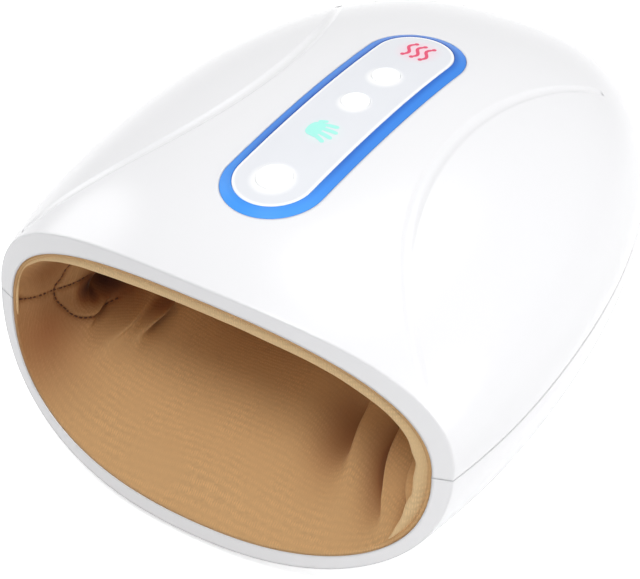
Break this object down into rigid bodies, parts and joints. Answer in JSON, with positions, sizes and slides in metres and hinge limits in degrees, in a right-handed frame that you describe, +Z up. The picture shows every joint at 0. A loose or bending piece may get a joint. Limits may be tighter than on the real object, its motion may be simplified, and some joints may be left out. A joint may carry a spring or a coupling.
{
  "type": "hand massager",
  "caption": "Egg-shaped hand massager with a wide fabric-lined mouth for one hand, a slot-shaped light-ringed control strip on its crown, and airbags, pump and battery inside.",
  "frame": {"origin": "centre of the bounding box in plan, on the plane that the rubber feet stand on", "axes": "+Z up, the mouth faces -Y, and +X is to the right as seen by someone who looks into the mouth"},
  "size_m": [0.1754, 0.208, 0.0988],
  "materials": {
    "white_gloss_shell": "glossy",
    "blue_light_guide": "satin translucent",
    "pale_panel": "satin",
    "white_button": "satin",
    "black_plastic": "matte",
    "green_board": "satin",
    "steel_screw": "satin",
    "white_inner": "matte",
    "clear_lamp": "clear",
    "tan_fabric": "fine knit",
    "grey_film": "soft",
    "dark_rubber": "matte",
    "amber_film": "satin",
    "battery_wrap": "satin",
    "steel_sheet": "satin",
    "bronze_bush": "satin",
    "dark_iron": "matte",
    "silicone_tube": "soft translucent"
  },
  "bodies": {
    "housing": {"air_tee": "white_inner", "battery_pack": "battery_wrap", "board_parts": "black_plastic", "board_screws": "steel_screw", "buzzer": "black_plastic", "charge_board": "green_board", "charging_socket": "steel_sheet", "control_board": "green_board", "control_panel": "pale_panel", "fabric_pouch": "tan_fabric", "heating_film": "amber_film", "lamps": "clear_lamp", "light_boxes": "white_inner", "light_ring": "blue_light_guide", "lower_airbag": "grey_film", "lower_bag_tube": "silicone_tube", "lower_frame": "white_inner", "lower_frame_screws": "steel_screw", "lower_shell": "white_gloss_shell", "lower_valve": "black_plastic", "lower_valve_tube": "silicone_tube", "motor_bearings": "bronze_bush", "motor_can": "steel_sheet", "motor_sleeve": "dark_rubber", "nodule_plate": "dark_rubber", "pouch_retainer": "white_inner", "pump_head": "black_plastic", "pump_tube": "silicone_tube", "rubber_feet": "dark_rubber", "shell_screws": "steel_screw", "tactile_switches": "black_plastic", "upper_airbag": "grey_film", "upper_bag_tube": "silicone_tube", "upper_frame": "white_inner", "upper_frame_screws": "steel_screw", "upper_shell": "white_gloss_shell", "upper_valve": "black_plastic", "upper_valve_tube": "silicone_tube", "valve_bracket": "steel_sheet"},
    "power_key": {"power_button": "white_button", "power_plunger": "black_plastic"},
    "mode_key": {"mode_button": "white_button", "mode_plunger": "black_plastic"},
    "strength_key": {"strength_button": "white_button", "strength_plunger": "black_plastic"},
    "pump_rotor": {"motor_rotor": "dark_iron", "pump_crank": "white_inner"},
    "upper_spool": {"upper_valve_plunger": "dark_iron"},
    "lower_spool": {"lower_valve_plunger": "dark_iron"}
  },
  "joints": [
    {"name": "power_press", "type": "slide", "parent": "housing", "child": "power_key", "axis": [0, -0.0808, -0.9967], "range_m": [0, 0.0005], "stiffness_N_per_m": 2000},
    {"name": "mode_press", "type": "slide", "parent": "housing", "child": "mode_key", "axis": [0, -0.0808, -0.9967], "range_m": [0, 0.0005], "stiffness_N_per_m": 2000},
    {"name": "strength_press", "type": "slide", "parent": "housing", "child": "strength_key", "axis": [0, -0.0808, -0.9967], "range_m": [0, 0.0005], "stiffness_N_per_m": 2000},
    {"name": "rotor_spin", "type": "hinge", "parent": "housing", "child": "pump_rotor", "pos_m": [-0.017, 0.0797, 0.048], "axis": [1, 0, 0], "continuous": true},
    {"name": "upper_spool_slide", "type": "slide", "parent": "housing", "child": "upper_spool", "axis": [0, 1, 0], "range_m": [0, 0.0008], "stiffness_N_per_m": 600},
    {"name": "lower_spool_slide", "type": "slide", "parent": "housing", "child": "lower_spool", "axis": [0, 1, 0], "range_m": [0, 0.0008], "stiffness_N_per_m": 600}
  ]
}
